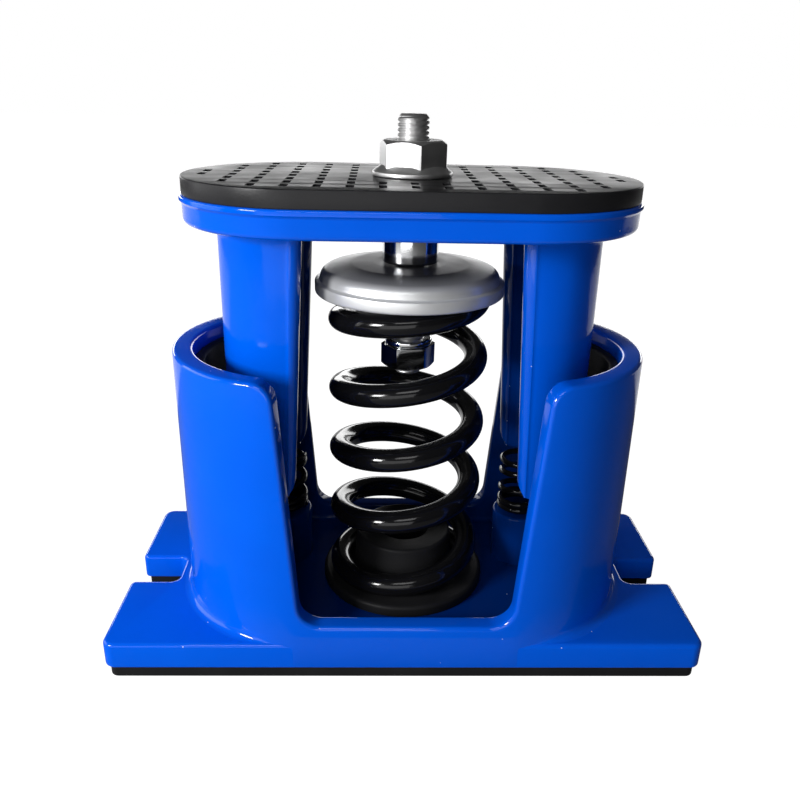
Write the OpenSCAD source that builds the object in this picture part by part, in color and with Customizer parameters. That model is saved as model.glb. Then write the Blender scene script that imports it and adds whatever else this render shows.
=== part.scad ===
// Spring vibration isolator: a cast lower housing with two cups, an upper housing whose legs
// hang in the cups, one main coil spring between them and a levelling bolt with a locking nut.
// Millimetres, +Z up, +X along the base.

/* [Base] */
// Overall length of the base plate
base_length = 200; // [170:1:240]
// Overall depth of the base plate
base_depth = 88; // [78:1:100]
// Thickness of the cast base plate
base_thickness = 9.5; // [8:0.5:14]
// Corner radius of the base plate
base_corner = 4; // [2:0.5:8]
// Thickness of the rubber pad under the base
base_pad_thickness = 4.5; // [3:0.5:8]
// How far the rubber pad stands back from the edge of the base
base_pad_inset = 1.4; // [0.5:0.1:3]
// Width of the anchor notch at each end
notch_width = 16.8; // [12:0.2:20]
// Depth of the anchor notch from the end of the base
notch_depth = 17; // [10:0.5:18]

/* [Cups] */
// Length over the two cups
cups_length = 156; // [146:1:176]
// Wall of the cups
cup_wall = 6.8; // [5:0.2:10]
// Height of the cup rims above the ground
rim_height = 105; // [85:1:115]
// Rounding of the rims' edges
rim_round = 1.4; // [0.8:0.2:2.6]
// Half width of the side windows at the rim
window_top_half = 41.2; // [36:0.2:46]
// Half width of the side windows at the sill
window_sill_half = 34.6; // [28:0.2:37]
// Height of the window sill above the floor of the cups
sill_rise = 6.9; // [4:0.1:12]
// Radius of the lower window corners
window_corner = 8; // [4:0.5:12]
// Radius where a window edge runs out into the rim
rim_corner = 7; // [3:0.5:10]
// Radius of the fillet between the cups and the base
cup_foot = 3; // [1:0.5:5]
// Thickness of the rubber liner in a cup
liner_thickness = 3.5; // [2:0.1:5]
// Drop of the liner's upper edge below the rim
liner_drop = 5; // [3:0.5:10]
// Height of a liner
liner_height = 46; // [30:1:60]
// Part of a full ring that a liner covers, in degrees
liner_angle = 120; // [90:2:164]

/* [Main spring] */
// Wire diameter of the main spring
wire = 7.8; // [6:0.1:9]
// Mean radius of the main spring
coil_radius = 23; // [20:0.5:25]
// Thickness of the rubber seat under the main spring
seat_thickness = 4; // [3:0.5:8]
// Height of the seat's spigot inside the coil
spigot_height = 15; // [6:0.5:20]

/* [Buffer springs] */
// Wire diameter of the buffer springs
buffer_wire = 2.2; // [1.6:0.1:3]
// Mean radius of the buffer springs
buffer_radius = 7.8; // [6:0.1:9]
// Height of the cast boss under each buffer spring
buffer_boss = 20; // [12:1:24]

/* [Upper housing] */
// Length of the top plate
plate_length = 144; // [130:1:160]
// Depth of the top plate
plate_depth = 78.4; // [68:0.2:90]
// Thickness of the top plate
plate_thickness = 8.6; // [7:0.2:14]
// Height of the top plate's underside above the ground
plate_underside = 145; // [138:0.5:152]
// Distance of a leg's axis from the middle
leg_x = 38.3; // [34:0.1:42]
// Outside radius of a leg
leg_radius = 23; // [18:0.5:25]
// Distance of a leg's inner edges from the middle at the plate
leg_inner_top = 32.8; // [31:0.1:36]
// Distance of a leg's inner edges from the middle at the foot
leg_inner_foot = 37.2; // [32:0.1:40]
// Wall of a leg
leg_wall = 5; // [4:0.5:7]
// Height of the legs' lower ends above the ground
leg_bottom = 57; // [54:1:64]
// Distance of a foot plate's inner edge from the middle
foot_plate_inner = 45.5; // [40:0.5:50]
// Thickness of the rubber pad on the top plate
top_pad_thickness = 5.4; // [3:0.2:8]
// Width of a recess in the top pad
recess_width = 2.4; // [1.5:0.1:4]
// Length of a recess in the top pad
recess_length = 5.4; // [3:0.1:7]
// Spacing of the columns of recesses
recess_columns = 9.2; // [8:0.2:14]
// Spacing of the recesses in a column
recess_rows = 8.4; // [7.5:0.1:12]

/* [Bolt] */
// Thread diameter of the levelling bolt
bolt_diameter = 10; // [8:1:12]
// Height of the bolt's upper end above the ground
bolt_top = 177.2; // [172:0.2:184]
// Diameter of the plain collar under the top plate
collar_diameter = 18.4; // [16:0.2:20]
// Width over the flats of the flange nut
nut_flats = 19; // [15:0.5:20]
// Turn of the flange nut about the bolt, in degrees
nut_turn = 41; // [0:1:60]
// Diameter of the nut's flange
flange_diameter = 25; // [21:0.5:27]
// Width over the flats of the stop nut
stop_flats = 16; // [14:0.5:17]
// Radius of the pressed spring cup
spring_cup_radius = 31; // [28.5:0.1:31.5]

/* [Hidden] */
$fn = 96;
floor_z = base_pad_thickness + base_thickness;
sill_z = floor_z + sill_rise;
cup_r = base_depth / 2;
cup_x = cups_length / 2 - cup_r;
cup_in = cup_r - cup_wall;
seat_z = floor_z + seat_thickness;
plate_top = plate_underside + plate_thickness;
pad_top = plate_top + top_pad_thickness;
plate_r = plate_depth / 2;
plate_x = plate_length / 2 - plate_r;
bead_r = leg_wall / 2 + 0.6;
bead_y = leg_radius - leg_wall / 2 + 0.4;
buffer_x = leg_x + 7;
buffer_y = 13;
buffer_z = floor_z + buffer_boss;
cup_face_drop = 20.6;
cup_top_drop = 13;
stop_drop = 48;
cup_face_z = plate_underside - cup_face_drop;
cup_top_z = plate_underside - cup_top_drop;
bolt_r = bolt_diameter / 2;
collar_r = collar_diameter / 2;
stop_z = plate_underside - stop_drop;

// A rectangle with round corners, kept as true arcs.
module round_rect(l, d, r) {
    square([l - 2 * r, d], center = true);
    square([l, d - 2 * r], center = true);
    for (x = [-1, 1], y = [-1, 1]) translate([x * (l / 2 - r), y * (d / 2 - r)]) circle(r);
}

// A long round-ended outline.
module stadium(x, r) {
    square([2 * x, 2 * r], center = true);
    for (s = [-1, 1]) translate([s * x, 0]) circle(r);
}

// The two anchor notches, open at the ends of the base.
module notches(grow) {
    for (s = [-1, 1]) translate([s * base_length / 2, 0]) {
        translate([-s * (notch_depth - notch_width / 2), 0]) circle(notch_width / 2 + grow);
        translate([s * 10 - s * (notch_depth - notch_width / 2) / 2, 0])
            square([20 + notch_depth - notch_width / 2, notch_width + 2 * grow], center = true);
    }
}

// Section of a cup wall, its rim rounded, with r measured from the cup's axis.
module wall_section() {
    translate([cup_in, floor_z]) square([cup_wall, rim_height - floor_z - rim_round]);
    translate([cup_in + rim_round, floor_z]) square([cup_wall - 2 * rim_round, rim_height - floor_z]);
    for (r = [cup_in + rim_round, cup_r - rim_round])
        translate([r, rim_height - rim_round]) circle(rim_round);
}

// Section of the fillet round the foot of a cup.
module foot_section() difference() {
    translate([cup_r - 1, floor_z - 1]) square([cup_foot + 1, cup_foot + 1]);
    translate([cup_r + cup_foot, floor_z + cup_foot]) circle(cup_foot);
}

// The opening seen from the front, drawn as x and z: leaning sides, a round at each lower corner
// and a round where each side runs out over the rim. The rounds overlap the sides by a hair.
module window_outline() {
    hair = 0.02;
    slope = (window_top_half - window_sill_half) / (rim_height - sill_z);
    lean = atan(slope);
    cx = window_sill_half + slope * window_corner - window_corner / cos(lean);
    cz = sill_z + window_corner;
    hip = cx + (window_corner - hair) * cos(lean);
    hip_z = cz - (window_corner - hair) * sin(lean);
    rim_z = rim_height - rim_corner + 0.4;
    rim_x = window_top_half + slope * (rim_z - rim_height) + (rim_corner - hair) / cos(lean);
    lip = rim_x - (rim_corner - hair) * cos(lean);
    lip_z = rim_z + (rim_corner - hair) * sin(lean);
    top = rim_height + 6;
    difference() {
        union() {
            polygon([[-cx, sill_z], [cx, sill_z], [cx, cz], [hip, hip_z], [lip, lip_z],
                [rim_x, rim_z], [rim_x, top], [-rim_x, top], [-rim_x, rim_z], [-lip, lip_z],
                [-hip, hip_z], [-cx, cz]]);
            for (s = [-1, 1]) translate([s * cx, cz]) circle(window_corner);
        }
        for (s = [-1, 1]) translate([s * rim_x, rim_z]) circle(rim_corner);
    }
}

module lower_housing() color("#0a4fd8") {
    difference() {
        union() {
            translate([0, 0, base_pad_thickness]) linear_extrude(base_thickness) difference() {
                round_rect(base_length, base_depth, base_corner);
                notches(0);
            }
            for (s = [0, 180]) rotate([0, 0, s]) translate([cup_x, 0, 0]) rotate([0, 0, -90])
                rotate_extrude(angle = 180) wall_section();
            for (s = [-1, 1]) translate([0, s * (cup_r - cup_wall / 2), (floor_z + rim_height) / 2])
                cube([2 * cup_x, cup_wall, rim_height - floor_z], center = true);
            intersection() {
                translate([0, 0, floor_z]) cube([base_length, base_depth, 30], center = true);
                for (s = [0, 180]) rotate([0, 0, s]) translate([cup_x, 0, 0]) rotate([0, 0, -90])
                    rotate_extrude(angle = 180) foot_section();
            }
            for (s = [-1, 1]) translate([s * buffer_x, buffer_y, floor_z - 1])
                cylinder(h = buffer_boss + 1, r = buffer_radius + 2.4);
        }
        rotate([90, 0, 0]) linear_extrude(base_depth + 20, center = true) window_outline();
    }
}

module base_pad() color("#141414") linear_extrude(base_pad_thickness) difference() {
    round_rect(base_length - 2 * base_pad_inset, base_depth - 2 * base_pad_inset, base_corner - 1);
    notches(base_pad_inset);
}

// A rubber liner on the inner wall of one cup, a part ring round its outer end.
module liner() translate([cup_x, 0, rim_height - liner_drop - liner_height]) rotate([0, 0, -liner_angle / 2])
    rotate_extrude(angle = liner_angle) translate([cup_in - liner_thickness, 0])
    square([liner_thickness, liner_height]);

module right_liner() color("#161616") liner();

module left_liner() color("#161616") rotate([0, 0, 180]) liner();

// The moulded seat: a flat ring under the coil, a low outer step and a spigot inside the coil.
module spring_seat() color("#121212") translate([0, 0, floor_z]) difference() {
    inside = coil_radius - wire / 2;
    union() {
        cylinder(h = seat_thickness, r = coil_radius + 6.4);
        cylinder(h = seat_thickness + spigot_height, r1 = inside - 1, r2 = inside - 2.5);
    }
    translate([0, 0, -1]) cylinder(h = seat_thickness + spigot_height + 2, r = 9);
}

// Straight-line lookup of y at x in a table of pairs.
function at(table, x, i = 0) = i >= len(table) - 2 || x <= table[i + 1][0] ?
    table[i][1] + (table[i + 1][1] - table[i][1]) * (x - table[i][0]) / (table[i + 1][0] - table[i][0]) :
    at(table, x, i + 1);

// The lookup averaged over a window, so that the pitch changes softly.
function soft(table, x, w, n = 6) =
    let (first = table[0][0], last = table[len(table) - 1][0])
    let (v = [for (i = [-n:n]) at(table, min(max(x + w * i / n, first), last))])
    (v * [for (i = v) 1]) / len(v);

// A round wire wound on a radius: at a degrees its height is soft(table, a), cut level at both ground ends.
module coil(radius, wire_r, table, blur, low, high, rings, sides) {
    first = table[0][0];
    last = table[len(table) - 1][0];
    n = ceil((last - first) / 360 * rings);
    points = [for (i = [0:n], k = [0:sides - 1])
        let (a = first + (last - first) * i / n, b = 360 * (k + 0.5) / sides)
        let (r = radius + wire_r * cos(b), z = soft(table, a, blur) + wire_r * sin(b))
        [r * cos(a), r * sin(a), min(max(z, low), high)]];
    polyhedron(points, concat([[for (k = [0:sides - 1]) k]],
        [for (i = [0:n - 1], k = [0:sides - 1]) let (m = (k + 1) % sides)
            [i * sides + k, (i + 1) * sides + k, (i + 1) * sides + m]],
        [for (i = [0:n - 1], k = [0:sides - 1]) let (m = (k + 1) % sides)
            [i * sides + k, (i + 1) * sides + m, i * sides + m]],
        [[for (k = [sides - 1:-1:0]) n * sides + k]]), convexity = 10);
}

module main_spring() color("#0c0c0c") {
    span = cup_face_z - seat_z;
    low = seat_z + wire / 2 - 2.2;
    high = cup_face_z - wire / 2 + 2.0;
    heights = [[10, low], [190, low + 0.6], [280, low + 3.2], [450, seat_z + span * 0.178],
        [630, seat_z + span * 0.288], [900, seat_z + span * 0.454], [1260, seat_z + span * 0.663],
        [1620, high - 9], [1710, high - 5.1], [1800, high - 1.1], [1850, high], [2000, high]];
    coil(coil_radius, wire / 2, heights, 60, seat_z, cup_face_z, 28, 12);
}

// A small spring, close wound at its ends, under the rear half of one leg.
module buffer_spring(side) translate([side * buffer_x, buffer_y, 0]) {
    w = buffer_wire;
    top = leg_bottom - 0.2;
    heights = [[0, buffer_z + 0.35 * w], [360, buffer_z + 1.4 * w], [720, buffer_z + 2.5 * w],
        [1440, top - 1.4 * w], [1800, top - 0.35 * w]];
    coil(buffer_radius, w / 2, heights, 40, buffer_z, top, 20, 8);
}

module right_buffer_spring() color("#101010") buffer_spring(1);

module left_buffer_spring() color("#101010") buffer_spring(-1);

// One leg in plan: a half tube open to the middle, with straight runs towards it.
module leg_plan() difference() {
    union() {
        translate([leg_x, 0]) circle(leg_radius);
        translate([leg_x - 10, -leg_radius]) square([10, 2 * leg_radius]);
    }
    translate([leg_x, 0]) circle(leg_radius - leg_wall);
    translate([leg_x - 30, leg_wall - leg_radius]) square([30, 2 * (leg_radius - leg_wall)]);
}

// One leg: its inner edges lean outwards to the foot, each with a round bead along it, and a floor
// closes the foot, whose inner corners are rounded.
module leg() difference() {
    rise = plate_underside - leg_bottom;
    lean = atan((leg_inner_foot - leg_inner_top) / rise);
    union() {
        difference() {
            translate([0, 0, leg_bottom]) linear_extrude(rise + 1) leg_plan();
            rotate([90, 0, 0]) linear_extrude(100, center = true)
                polygon([[0, leg_bottom - 1], [leg_inner_foot + bead_r, leg_bottom - 1],
                    [leg_inner_top + bead_r, plate_underside + 2], [0, plate_underside + 2]]);
        }
        translate([0, 0, leg_bottom]) linear_extrude(leg_wall) difference() {
            translate([leg_x, 0]) circle(leg_radius - 0.5);
            translate([foot_plate_inner - 40, -100]) square([40, 200]);
        }
        for (s = [-1, 1]) translate([leg_inner_foot + bead_r, s * bead_y, leg_bottom - 1])
            rotate([0, -lean, 0]) cylinder(h = rise + 3, r = bead_r);
    }
    rotate([90, 0, 0]) linear_extrude(100, center = true) difference() {
        translate([leg_inner_foot - 4, leg_bottom - 4]) square([10, 10]);
        translate([leg_inner_foot + 6, leg_bottom + 6]) circle(6);
    }
}

module upper_housing() color("#0a4fd8") difference() {
    union() {
        translate([0, 0, plate_underside]) linear_extrude(plate_thickness) stadium(plate_x, plate_r - 0.8);
        translate([0, 0, plate_top - 2.2]) linear_extrude(2.2) stadium(plate_x, plate_r);
        for (s = [0, 180]) rotate([0, 0, s]) leg();
    }
    translate([0, 0, plate_underside - 10]) cylinder(h = plate_thickness + 20, r = collar_r + 0.08);
}

// Columns of short recesses in the face of the top pad, kept clear of its rim and of the nut.
module pad_recesses() for (i = [-7:7], j = [-3.5:3.5]) {
    x = i * recess_columns;
    y = j * recess_rows;
    end_x = max(abs(x) + recess_width / 2 - plate_x, 0);
    reach = sqrt(max(pow(plate_r - 3.2, 2) - pow(end_x, 2), 0));
    if (abs(y) + recess_length / 2 < reach && norm([x, y]) > flange_diameter / 2 + 1 + recess_length / 2)
        translate([x, y]) square([recess_width, recess_length], center = true);
}

module top_pad() color("#1a1a1c") {
    difference() {
        translate([0, 0, plate_top]) linear_extrude(top_pad_thickness) difference() {
            stadium(plate_x - 0.2, plate_r - 0.6);
            circle(collar_r + 0.6);
        }
        translate([0, 0, pad_top - 1]) linear_extrude(3) pad_recesses();
    }
}

module adjusting_bolt() color("#c9cbcd") {
    translate([0, 0, stop_z - 2.5]) cylinder(h = bolt_top - stop_z + 2.5 - 1.2, r = bolt_r);
    translate([0, 0, bolt_top - 1.2]) cylinder(h = 1.2, r1 = bolt_r, r2 = bolt_r - 1.1);
}

module bolt_collar() color("#d5d7da") translate([0, 0, cup_top_z + 0.2]) difference() {
    cylinder(h = pad_top - 1.4 - cup_top_z - 0.2, r = collar_r);
    translate([0, 0, -1]) cylinder(h = 60, r = bolt_r);
}

// The pressed cup in section: a domed crown above a plain lip that holds the top coil.
module spring_cup() color("#b4b7bb") {
    skirt_z = cup_face_z - 2;
    r = spring_cup_radius;
    bore = bolt_r + 0.08;
    rotate_extrude()
        polygon([[bore, cup_face_z], [coil_radius + 5.2, cup_face_z], [coil_radius + 5.2, skirt_z],
            [r, skirt_z], [r, skirt_z + 3.2], [r - 0.5, skirt_z + 3.9], [r - 1.5, skirt_z + 4.1],
            [r - 1.8, skirt_z + 5.4], [r - 2.8, skirt_z + 7], [r - 4.6, skirt_z + 8.2], [r - 8, skirt_z + 9],
            [r - 14, skirt_z + 9.4], [r - 19, cup_top_z], [bore, cup_top_z]]);
}

module stop_nut() color("#c4c7ca") translate([0, 0, stop_z]) difference() {
    intersection() {
        cylinder(h = 7.4, d = stop_flats / cos(30), $fn = 6);
        cylinder(h = 7.4, r1 = stop_flats / 2 + 0.2, r2 = stop_flats / 2 + 4.5);
    }
    translate([0, 0, -1]) cylinder(h = 20, r = bolt_r);
}

// A thick round-edged washer on top of the stop nut.
module stop_washer() color("#c4c7ca") translate([0, 0, stop_z + 7.4]) rotate_extrude() {
    translate([bolt_r, 0]) square([stop_flats / 2 - 1 - bolt_r, 2.6]);
    translate([bolt_r, 1]) square([stop_flats / 2 - bolt_r, 0.6]);
    for (z = [1, 1.6]) translate([stop_flats / 2 - 1, z]) circle(1);
}

module flange_nut() color("#cfd1d4") translate([0, 0, pad_top + 0.1]) difference() {
    union() {
        cylinder(h = 1.2, r = flange_diameter / 2);
        translate([0, 0, 1.2]) cylinder(h = 1.8, r1 = flange_diameter / 2, r2 = nut_flats / 2 + 0.6);
        rotate([0, 0, nut_turn]) intersection() {
            cylinder(h = 10.6, d = nut_flats / cos(30), $fn = 6);
            cylinder(h = 10.6, r1 = nut_flats / 2 + 6, r2 = nut_flats / 2 - 0.2);
        }
    }
    translate([0, 0, -1]) cylinder(h = 20, r = bolt_r + 0.06);
}

lower_housing();
base_pad();
left_liner();
right_liner();
spring_seat();
main_spring();
left_buffer_spring();
right_buffer_spring();
upper_housing();
top_pad();
adjusting_bolt();
bolt_collar();
spring_cup();
stop_nut();
stop_washer();
flange_nut();
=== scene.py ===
import math
import bmesh
import bpy
import numpy as np
from mathutils import Matrix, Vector
from mathutils.geometry import tessellate_polygon


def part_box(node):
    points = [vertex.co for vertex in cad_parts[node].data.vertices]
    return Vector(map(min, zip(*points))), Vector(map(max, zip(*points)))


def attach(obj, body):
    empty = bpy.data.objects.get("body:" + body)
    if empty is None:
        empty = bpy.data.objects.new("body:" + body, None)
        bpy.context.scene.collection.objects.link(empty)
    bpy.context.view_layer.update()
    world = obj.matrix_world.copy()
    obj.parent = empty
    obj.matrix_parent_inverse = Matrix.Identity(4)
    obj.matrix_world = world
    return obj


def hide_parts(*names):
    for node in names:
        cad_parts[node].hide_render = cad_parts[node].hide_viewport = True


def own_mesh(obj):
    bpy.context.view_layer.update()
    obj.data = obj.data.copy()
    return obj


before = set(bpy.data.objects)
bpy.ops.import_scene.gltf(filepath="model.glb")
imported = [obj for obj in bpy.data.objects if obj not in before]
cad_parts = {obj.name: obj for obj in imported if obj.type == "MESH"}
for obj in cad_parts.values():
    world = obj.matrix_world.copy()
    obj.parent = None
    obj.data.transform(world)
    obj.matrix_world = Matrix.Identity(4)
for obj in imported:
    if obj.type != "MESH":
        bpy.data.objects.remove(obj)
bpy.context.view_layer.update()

mm = 0.001    # shapes are worked out in millimetres, meshes are in metres
turn = 2 * math.pi
mergeGap = 2e-6    # metres: points closer than this become one
coatRoughness = 0.05    # of every glossy coat
print("frame loaded:", len(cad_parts), "nodes")


# low and high corner of a node's box in millimetres
def nodeBox(node):
    low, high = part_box(node)
    return np.array(low) / mm, np.array(high) / mm


# a step with soft ends: three times the square of a share less twice its cube
def eased(share):
    share = np.clip(share, 0, 1)
    return share * share * (3 - 2 * share)


# evenly spread angles from nought to a quarter turn
def quarterRound(steps):
    return np.linspace(0, math.pi / 2, steps)


# faces of a grid of rows by cols points: neighbours in two rows joined, columns closing on themselves
def gridFaces(rows, cols, closeRows=False):
    row = np.arange(rows if closeRows else rows - 1)[:, None] * cols
    col = np.arange(cols)[None, :]
    nextCol = (col + 1) % cols
    quads = np.stack([row + col, row + nextCol, row + cols + nextCol, row + cols + col], axis=-1)
    return quads.reshape(-1, 4) % (rows * cols)


# straight edges with rounded corners: each corner becomes an arc of its radius, tangent to both edges
def roundedOutline(corners, radii, step=0.6, closed=True):
    corners = np.array(corners, float)
    count = len(corners)
    runs = []
    for i in range(count):
        if not closed and i in (0, count - 1):
            runs.append(corners[i:i + 1])
            continue
        back = corners[i - 1] - corners[i]
        ahead = corners[(i + 1) % count] - corners[i]
        back = back / np.linalg.norm(back)
        ahead = ahead / np.linalg.norm(ahead)
        half = math.acos(np.clip(back @ ahead, -1, 1)) / 2
        middle = corners[i] + (back + ahead) / np.linalg.norm(back + ahead) * radii[i] / math.sin(half)
        first = corners[i] + back * radii[i] / math.tan(half) - middle
        last = corners[i] + ahead * radii[i] / math.tan(half) - middle
        start = math.atan2(first[1], first[0])
        sweep = (math.atan2(last[1], last[0]) - start + math.pi) % turn - math.pi
        angle = start + np.linspace(0, sweep, max(4, int(abs(sweep) * radii[i] / step) + 1))
        runs.append(middle + radii[i] * np.stack([np.cos(angle), np.sin(angle)], axis=1))
    return np.vstack(runs)


# a round-ended outline: a rectangle whose corner radius is all but half its width
def stadiumOutline(half, r, step):
    return roundedOutline([(-half, -r), (half, -r), (half, r), (-half, r)], [r - 0.001] * 4, step)


# a rectangle with a notch in each end: corners, notch mouths and notch ends have radii of their own
def notchedOutline(half, deep, size, step):
    n = size["notch"]
    inner = half - size["notchDepth"]
    end = [(half, -n), (inner, -n), (inner, n), (half, n)]
    corners = [(-half, -deep), (half, -deep), *end, (half, deep), (-half, deep), *[(-x, -y) for x, y in end]]
    mouth, corner = size["notchMouth"], size["notchCorner"]
    return roundedOutline(corners, ([size["corner"]] * 2 + [mouth, corner, corner, mouth]) * 2, step)


# extra points on the straight runs of an open line, so that no gap is longer than asked
def spaced(points, gap):
    start, ahead = points[:-1], points[1:]
    parts = np.maximum(1, np.ceil(np.linalg.norm(ahead - start, axis=1) / gap)).astype(int)
    index = np.repeat(np.arange(len(start)), parts)
    step = np.arange(parts.sum()) - np.repeat(np.cumsum(parts) - parts, parts)
    out = start[index] + (ahead[index] - start[index]) * (step / parts[index])[:, None]
    return np.vstack([out, points[-1:]])


# outward normals of an anticlockwise outline: the mean of the two unit edges, turned clockwise
def outlineNormals(points):
    ahead = np.roll(points, -1, axis=0) - points
    ahead = ahead / np.maximum(np.linalg.norm(ahead, axis=1), 1e-9)[:, None]
    along = ahead + np.roll(ahead, 1, axis=0)
    along = along / np.linalg.norm(along, axis=1)[:, None]
    return np.stack([along[:, 1], -along[:, 0]], axis=1)


# (inset, height) rows of an upright side with a quarter round at its lower and upper edge
def roundedSide(low, high, lowRound, highRound, steps=5):
    a = quarterRound(steps)
    lower = np.stack([lowRound * (1 - np.sin(a)), low + lowRound * (1 - np.cos(a))], axis=1)
    upper = np.stack([highRound * (1 - np.cos(a)), high - highRound * (1 - np.sin(a))], axis=1)
    return np.vstack([lower, upper])


# a solid from an outline: each profile row is the outline moved in along its normals, at a height
def sweptSolid(outline, profile, caps=(True, True)):
    fullWear, noWear = 0.5, 2.5    # insets at which the edge weight is full, and beyond which it is nought
    profile = np.array(profile, float)
    flat = outline[None] - outlineNormals(outline)[None] * profile[:, 0, None, None]
    height = np.broadcast_to(profile[:, 1, None, None], flat.shape[:2] + (1,))
    rows, cols = len(profile), len(outline)
    faces = [gridFaces(rows, cols)]
    if caps[0]:
        faces.append(np.arange(cols)[None, ::-1])
    if caps[1]:
        faces.append((rows - 1) * cols + np.arange(cols)[None])
    edge = np.clip(profile[:, 0] / fullWear, 0, 1) * (profile[:, 0] < noWear)
    edge[[0, -1]] = 0    # flat faces carry no edge weight
    return np.concatenate([flat, height], axis=2).reshape(-1, 3), faces, np.repeat(edge, cols)


# a turned shape: a closed anticlockwise section (radius, height) carried round an upright axis
def turned(section, steps=96, centre=(0, 0)):
    section = np.array(section, float)
    angle = np.linspace(0, turn, steps, endpoint=False)[None]
    r = section[:, :1]
    points = np.stack([centre[0] + r * np.cos(angle), centre[1] + r * np.sin(angle),
                       section[:, 1:] + 0 * angle], axis=-1)
    return points.reshape(-1, 3), [gridFaces(len(section), steps, closeRows=True)], np.zeros(points.size // 3)


# a point on a long round-ended path at arc length s from the front middle, at distance r from its spine
def stadiumPoint(s, half, reference, r):
    arc = math.pi * reference
    s = np.mod(s, 4 * half + 2 * arc)
    right = (s - half) / reference - math.pi / 2
    left = (s - 3 * half - arc) / reference + math.pi / 2
    where = [s < half, s < half + arc, s < 3 * half + arc, s < 3 * half + 2 * arc]
    x = np.select(where, [s, half + r * np.cos(right), 2 * half + arc - s, -half + r * np.cos(left)],
                  s - 4 * half - 2 * arc)
    y = np.select(where, [-r + 0 * s, r * np.sin(right), r + 0 * s, r * np.sin(left)], -r + 0 * s)
    return x, y


# puts blocks of arrays into one mesh object at the origin, seams merged, and ties it to its body and nodes;
# a block is points, groups of faces, edge weights and, where it has them, painted-shade weights
def makePiece(name, blocks, material, body, nodes, sharp=38):
    starts = np.cumsum([0] + [len(b[0]) for b in blocks])
    points = np.vstack([b[0] for b in blocks]) * mm
    faces = []
    for block, start in zip(blocks, starts):
        for group in block[1]:
            faces += (np.asarray(group) + start).tolist()
    mesh = bpy.data.meshes.new(name)
    mesh.from_pydata(points.tolist(), [], faces)
    inner = [b[3] if len(b) > 3 else np.zeros(len(b[0])) for b in blocks]
    for label, values in (("edge", [b[2] for b in blocks]), ("inside", inner)):
        layer = mesh.attributes.new(label, "FLOAT", "POINT")
        layer.data.foreach_set("value", np.concatenate(values).astype(np.float32))
    work = bmesh.new()
    work.from_mesh(mesh)
    bmesh.ops.remove_doubles(work, verts=work.verts, dist=mergeGap)
    work.to_mesh(mesh)
    work.free()
    mesh.shade_smooth()
    mesh.set_sharp_from_angle(angle=math.radians(sharp))
    mesh.materials.append(material)
    piece = bpy.data.objects.new(name, mesh)
    bpy.context.scene.collection.objects.link(piece)
    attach(piece, body)
    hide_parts(*nodes)
    print("piece", name, len(mesh.polygons), "faces")
    return piece


# a shader group with named float inputs (name, default) and named float outputs
def newGroup(name, inputs, outputs):
    group = bpy.data.node_groups.new(name, "ShaderNodeTree")
    for label, value in inputs:
        socket = group.interface.new_socket(label, in_out="INPUT", socket_type="NodeSocketFloat")
        socket.default_value = value
    for label in outputs:
        group.interface.new_socket(label, in_out="OUTPUT", socket_type="NodeSocketFloat")
    return group, group.nodes.new("NodeGroupInput"), group.nodes.new("NodeGroupOutput")


# a math node of two sockets, or of a socket and a fixed value
def mathNode(tree, operation, first, second):
    node = tree.nodes.new("ShaderNodeMath")
    node.operation = operation
    tree.links.new(first, node.inputs[0])
    if isinstance(second, float):
        node.inputs[1].default_value = second
    else:
        tree.links.new(second, node.inputs[1])
    return node.outputs["Value"]


# a colour that goes from a start, a fixed tone or a socket's, to a second tone as the factor rises
def mixedTone(tree, factor, start, tone):
    mix = tree.nodes.new("ShaderNodeMix")
    mix.data_type = "RGBA"
    mix.inputs["B"].default_value = (*tone, 1)
    if isinstance(start, tuple):
        mix.inputs["A"].default_value = (*start, 1)
    else:
        tree.links.new(start, mix.inputs["A"])
    tree.links.new(factor, mix.inputs["Factor"])
    return mix.outputs["Result"]


# surface grain: two noises on Object coordinates, a broad one spread between low and high for the
# roughness and the tint, a fine one for the height
def buildGrainGroup():
    inputs = [("Broad", 40), ("Fine", 900), ("Low", 0.3), ("High", 0.4)]
    group, given, result = newGroup("surfaceGrain", inputs, ["Roughness", "Height", "Tint"])
    link = group.links.new
    place = group.nodes.new("ShaderNodeTexCoord")
    broad = group.nodes.new("ShaderNodeTexNoise")
    broad.inputs["Detail"].default_value = 4
    fine = group.nodes.new("ShaderNodeTexNoise")
    fine.inputs["Detail"].default_value = 2
    spread = group.nodes.new("ShaderNodeMapRange")
    noiseLow, noiseHigh = 0.32, 0.68    # nearly all of the noise lies between these
    spread.inputs["From Min"].default_value = noiseLow
    spread.inputs["From Max"].default_value = noiseHigh
    link(place.outputs["Object"], broad.inputs["Vector"])
    link(place.outputs["Object"], fine.inputs["Vector"])
    link(given.outputs["Broad"], broad.inputs["Scale"])
    link(given.outputs["Fine"], fine.inputs["Scale"])
    link(broad.outputs["Fac"], spread.inputs["Value"])
    link(given.outputs["Low"], spread.inputs["To Min"])
    link(given.outputs["High"], spread.inputs["To Max"])
    link(spread.outputs["Result"], result.inputs["Roughness"])
    link(fine.outputs["Fac"], result.inputs["Height"])
    link(broad.outputs["Fac"], result.inputs["Tint"])
    return group


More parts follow.
